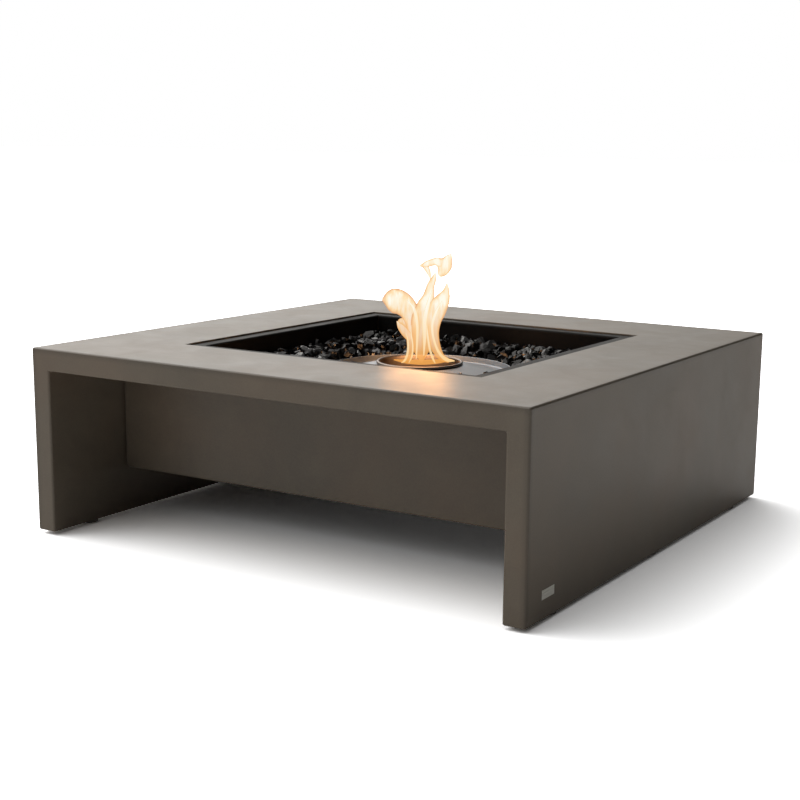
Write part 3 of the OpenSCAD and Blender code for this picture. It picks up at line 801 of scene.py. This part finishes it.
def smooth_through(values, count):
    """A smooth run of count values through the given ones: between two of them it is a cubic whose
    slope at each is half the difference of its neighbours."""
    values = np.asarray(values, float)
    before, after = 2 * values[:1] - values[1:2], 2 * values[-1:] - values[-2:-1]
    padded = np.concatenate([before, values, after])
    at = np.linspace(0, len(values) - 1 - 1e-9, count)
    i = at.astype(int)
    t = (at - i).reshape((-1,) + (1,) * (values.ndim - 1))
    a, b, c, d = padded[i], padded[i + 1], padded[i + 2], padded[i + 3]
    square, cube = 2 * a - 5 * b + 4 * c - d, 3 * b - a - 3 * c + d
    return 0.5 * (2 * b + (c - a) * t + square * t**2 + cube * t**3)


def flame_tongue(name, path, widths, material, thin, depth):
    """One tongue: an oval of the width at hand is carried along a smooth path in the flame's
    plane; path is (right, up) in millimetres from the middle of the table top. The oval is thin
    times as deep as it is wide, and depth is how far behind that plane it lies."""
    rows, columns = 48, 20
    line = smooth_through(path, rows) * MM
    wide = np.maximum(smooth_through(np.asarray(widths)[:, None], rows)[:, 0], 0.05) * MM
    along = np.gradient(line, axis=0)
    along /= np.linalg.norm(along, axis=1, keepdims=True)
    side = np.stack([along[:, 1], -along[:, 0]], -1)
    turn = np.linspace(0, 2 * np.pi, columns, endpoint=False)
    right = line[:, None, 0] + wide[:, None] * np.cos(turn) * side[:, None, 0]
    up = line[:, None, 1] + wide[:, None] * np.cos(turn) * side[:, None, 1]
    back = thin * wide[:, None] * np.sin(turn) + depth * MM
    points = right[..., None] * FLAME_RIGHT + back[..., None] * FLAME_BACK
    points[..., 2] += up + TOP
    faces = grid_faces(rows, columns).tolist()
    faces += [list(range(columns)), [(rows - 1) * columns + i for i in range(columns)]]
    tongue = mesh_piece(name, points.reshape(-1, 3), faces, material, "burner")


def flame():
    """The lit gas: broad tongues, and narrow brighter ones inside them. Each row is a tongue's
    path, its half widths in millimetres along it, its thinness and its depth."""
    gas = flame_gas("flame gas", rgb(1.0, 0.97, 0.84), rgb(1.0, 0.74, 0.42),
                    rgb(0.80, 0.42, 0.22), rgb(0.90, 0.40, 0.09), (0.58, 0.90))
    core = flame_gas("flame core", rgb(1.0, 1.0, 0.92), rgb(1.0, 0.94, 0.72),
                     rgb(1.0, 0.74, 0.40), rgb(1.0, 0.66, 0.28), (0.72, 0.55))
    broad = {
        "flame_left_lobe": (
            [(-20, -42), (-17, -18), (-17, 4), (-15, 29), (-20, 50), (-32, 65), (-47, 72),
             (-60, 74), (-72, 74)],
            [4, 7, 9, 13, 18, 22, 23.5, 18, 2], 0.5, 6),
        "flame_column": (
            [(4, -44), (3, -21), (5, 9), (7, 39), (10, 64), (15, 81), (19, 101), (25, 116),
             (28, 128)],
            [1, 15, 21, 24, 17, 11, 7.5, 5, 0.5], 0.6, 0),
        "flame_right_lobe": (
            [(56, -40), (40, -31), (29, -11), (24, 14), (24, 39), (31, 58), (42, 77), (48, 92),
             (50, 109)],
            [4, 7, 9.9, 11.9, 16.9, 18.5, 14, 7, 0.5], 0.5, -4),
        "flame_foot_pool": (
            [(-50, -44), (-26, -47), (4, -48), (36, -46), (62, -42)],
            [1, 4, 5, 4, 1], 0.9, 30),
        "flame_flap": (
            [(-16, 0), (-27, 12), (-37, 24), (-44, 34)],
            [7, 8, 6, 0.5], 0.5, 2),
        "flame_flap_back": (
            [(-12, 20), (-26, 30), (-36, 33), (-43, 30)],
            [10, 9, 6, 1], 0.5, 9),
        "flame_wisp_tail": (
            [(-3, 138), (8, 141), (19, 145), (29, 147), (40, 144)],
            [0.5, 5.5, 6.5, 7.5, 10], 0.5, 0),
        "flame_wisp_tip": (
            [(34, 121), (41, 129), (45, 140), (50, 150), (57, 164)],
            [4, 10.5, 14, 10, 0.5], 0.4, 1),
        "flame_wisp_hook": (
            [(6, 140), (12, 133), (16, 124), (19, 113)],
            [5, 5, 3.5, 0.5], 0.5, 1),
    }
    narrow = {
        "flame_foot_left": (
            [(-34, -42), (-27, -36), (-22, -20), (-22, 0), (-26, 16)],
            [0.6, 2.2, 2, 1.6, 0.3], 0.8, -22),
        "flame_foot_inner": (
            [(-20, -42), (-14, -28), (-13, -8), (-16, 14), (-16, 30)],
            [0.5, 1.6, 1.6, 1.2, 0.3], 0.8, -21),
        "flame_foot_right": (
            [(66, -37), (52, -35), (40, -26), (31, -10), (25, 14)],
            [1.2, 3.6, 2.8, 2.2, 0.3], 0.8, -20),
        "flame_foot_front": (
            [(30, -42), (25, -32), (19, -14), (15, 10), (13, 30)],
            [0.6, 2.2, 2.2, 1.8, 0.3], 0.8, -22),
        "flame_streak_left": (
            [(-6, -34), (-5, -1), (-5, 29), (-11, 59), (-24, 76)],
            [1, 2.2, 3, 3.4, 0.6], 0.6, -18),
        "flame_streak_middle": (
            [(8, -28), (9, 4), (9, 39), (15, 69), (22, 96)],
            [1, 3.2, 4.6, 3.6, 0.5], 0.6, -18),
        "flame_streak_right": (
            [(34, -22), (27, -1), (23, 29), (30, 54), (41, 76)],
            [0.8, 1.8, 2.8, 3.2, 0.5], 0.6, -16),
    }
    for material, group in ((gas, broad), (core, narrow)):
        for name, (path, widths, thin, depth) in group.items():
            flame_tongue(name, path, widths, material, thin, depth)


# ---------------------------------------------------------------------------------------------
# Camera, light and floor
# ---------------------------------------------------------------------------------------------

# turn round the object and rise in degrees, sharpness, strength; turn 0 is the front, 270 the left
SOFT_LIGHTS = (
    (0, 90, 4, 0.52),
    (345, 15, 8, 0.30),
    (225, 15, 8, 1.74),
    (270, 45, 8, 2.85),
    (315, 45, 8, 0.68),
)
LIGHT_TINT = (1.0, 0.97, 0.925)
FLOOR_PALE = 0.88         # share of the light that the floor throws back
FLOOR_LIFT = 2.85         # how much paler it looks to the camera
FLOOR_HALF = 40.0         # half its width
CAMERA_PLACE = (1.4441, -2.3176, 0.7220)
CAMERA_DOWN = math.radians(11.24)
CAMERA_ROLL = math.radians(0.84)
CAMERA_LENS = 65.56       # millimetres, on a sensor 36 mm wide
CAMERA_SHIFT = (-0.0538, 0.0290)


def towards(turn, rise):
    """The direction from the object at that turn round it from the front and that rise."""
    level = math.cos(rise)
    return Vector((math.sin(turn) * level, -math.cos(turn) * level, math.sin(rise)))


def camera():
    """The camera, from its place, its direction and its small roll."""
    data = bpy.data.cameras.new("camera")
    data.sensor_width = 36.0
    data.lens = CAMERA_LENS
    data.shift_x, data.shift_y = CAMERA_SHIFT
    data.clip_end = 200.0
    eye = bpy.data.objects.new("camera", data)
    bpy.context.scene.collection.objects.link(eye)
    ahead = -towards(VIEW_TURN, CAMERA_DOWN)
    level = ahead.cross(Vector((0, 0, 1))).normalized()
    over = level.cross(ahead)
    right = level * math.cos(CAMERA_ROLL) + over * math.sin(CAMERA_ROLL)
    over = right.cross(ahead)
    turn = Matrix((right, over, -ahead)).transposed().to_4x4()
    eye.matrix_world = Matrix.Translation(CAMERA_PLACE) @ turn
    bpy.context.scene.camera = eye


def studio():
    """A soft sky of a few broad bright places; the camera itself sees plain white. Each place adds
    its strength times the cosine of the angle from its middle, raised to its sharpness."""
    scene = bpy.context.scene
    scene.view_settings.view_transform = "Standard"
    scene.view_settings.look = "None"
    world = bpy.data.worlds.new("studio")
    scene.world = world
    world.use_nodes = True
    tree = world.node_tree
    tree.nodes.clear()
    new = tree.nodes.new
    direction = new("ShaderNodeTexCoord").outputs["Generated"]

    def math_node(how, a, b):
        node = new("ShaderNodeMath")
        node.operation = how
        join(tree, a, node.inputs[0])
        join(tree, b, node.inputs[1])
        return node.outputs[0]

    total = 0.0
    for turn, rise, sharpness, strength in SOFT_LIGHTS:
        facing = new("ShaderNodeVectorMath")
        facing.operation = "DOT_PRODUCT"
        facing.inputs[1].default_value = towards(math.radians(turn), math.radians(rise))
        tree.links.new(direction, facing.inputs[0])
        near = math_node("POWER", math_node("MAXIMUM", facing.outputs["Value"], 0.0), sharpness)
        total = math_node("ADD", math_node("MULTIPLY", near, strength), total)
    soft, plain = new("ShaderNodeBackground"), new("ShaderNodeBackground")
    soft.inputs["Color"].default_value = rgb(*LIGHT_TINT)
    plain.inputs["Color"].default_value = rgb(1, 1, 1)
    tree.links.new(total, soft.inputs["Strength"])
    seen, mix = new("ShaderNodeLightPath"), new("ShaderNodeMixShader")
    output = new("ShaderNodeOutputWorld")
    tree.links.new(seen.outputs["Is Camera Ray"], mix.inputs["Fac"])
    tree.links.new(soft.outputs["Background"], mix.inputs[1])
    tree.links.new(plain.outputs["Background"], mix.inputs[2])
    tree.links.new(mix.outputs["Shader"], output.inputs["Surface"])


def floor():
    """A large plain floor. It looks paler than the light that it throws back, and neutral."""
    material = bpy.data.materials.new("studio floor")
    material.use_nodes = True
    tree = material.node_tree
    tree.nodes.clear()
    new = tree.nodes.new
    matt, output = new("ShaderNodeBsdfDiffuse"), new("ShaderNodeOutputMaterial")
    seen, pale = new("ShaderNodeLightPath"), new("ShaderNodeMix")
    pale.data_type = "RGBA"
    pale.inputs["A"].default_value = rgb(FLOOR_PALE, FLOOR_PALE, FLOOR_PALE)
    pale.inputs["B"].default_value = rgb(*(FLOOR_PALE * FLOOR_LIFT / c for c in LIGHT_TINT))
    tree.links.new(seen.outputs["Is Camera Ray"], pale.inputs["Factor"])
    tree.links.new(pale.outputs["Result"], matt.inputs["Color"])
    tree.links.new(matt.outputs["BSDF"], output.inputs["Surface"])
    points = [(x * FLOOR_HALF, y * FLOOR_HALF, 0) for x, y in ((-1, -1), (1, -1), (1, 1), (-1, 1))]
    mesh_piece("floor", points, [(0, 1, 2, 3)], material, closed=False)


# ---------------------------------------------------------------------------------------------
# The scene
# ---------------------------------------------------------------------------------------------

camera()
concrete_body()
apron("front_apron_panel", "front_apron", apron_low, apron_high)
apron("rear_apron_panel", "rear_apron", rear_low, rear_high)
fire_tray()
burner_dish()
burner_collar()
fire_glass()

finishes = {
    "apron_brackets": BLACK_STEEL, "pan_stiffeners": BLACK_STEEL, "glass_guard": BLACK_STEEL,
    "burner_well": BLACK_STEEL, "slab_inserts": BRASS, "apron_inserts": BRASS,
    "foot_inserts": BRASS, "slab_screws": ZINC, "apron_screws": ZINC, "foot_screws": ZINC,
    "well_bolts": ZINC, "well_nuts": ZINC, "foot_pads": RUBBER, "flange_gasket": SEAL_RUBBER,
    "badge_plate": BADGE_METAL, "badge_adhesive": TAPE, "burner_can": STAINLESS,
    "burner_base": STAINLESS, "fuel_reservoir": STAINLESS, "reservoir_spacers": SPACER,
    "fuel_wool": WOOL, "flame_grate": GRATE_STEEL,
}
for node, material in finishes.items():
    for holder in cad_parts[node].material_slots:
        holder.material = material

flame()
floor()
studio()
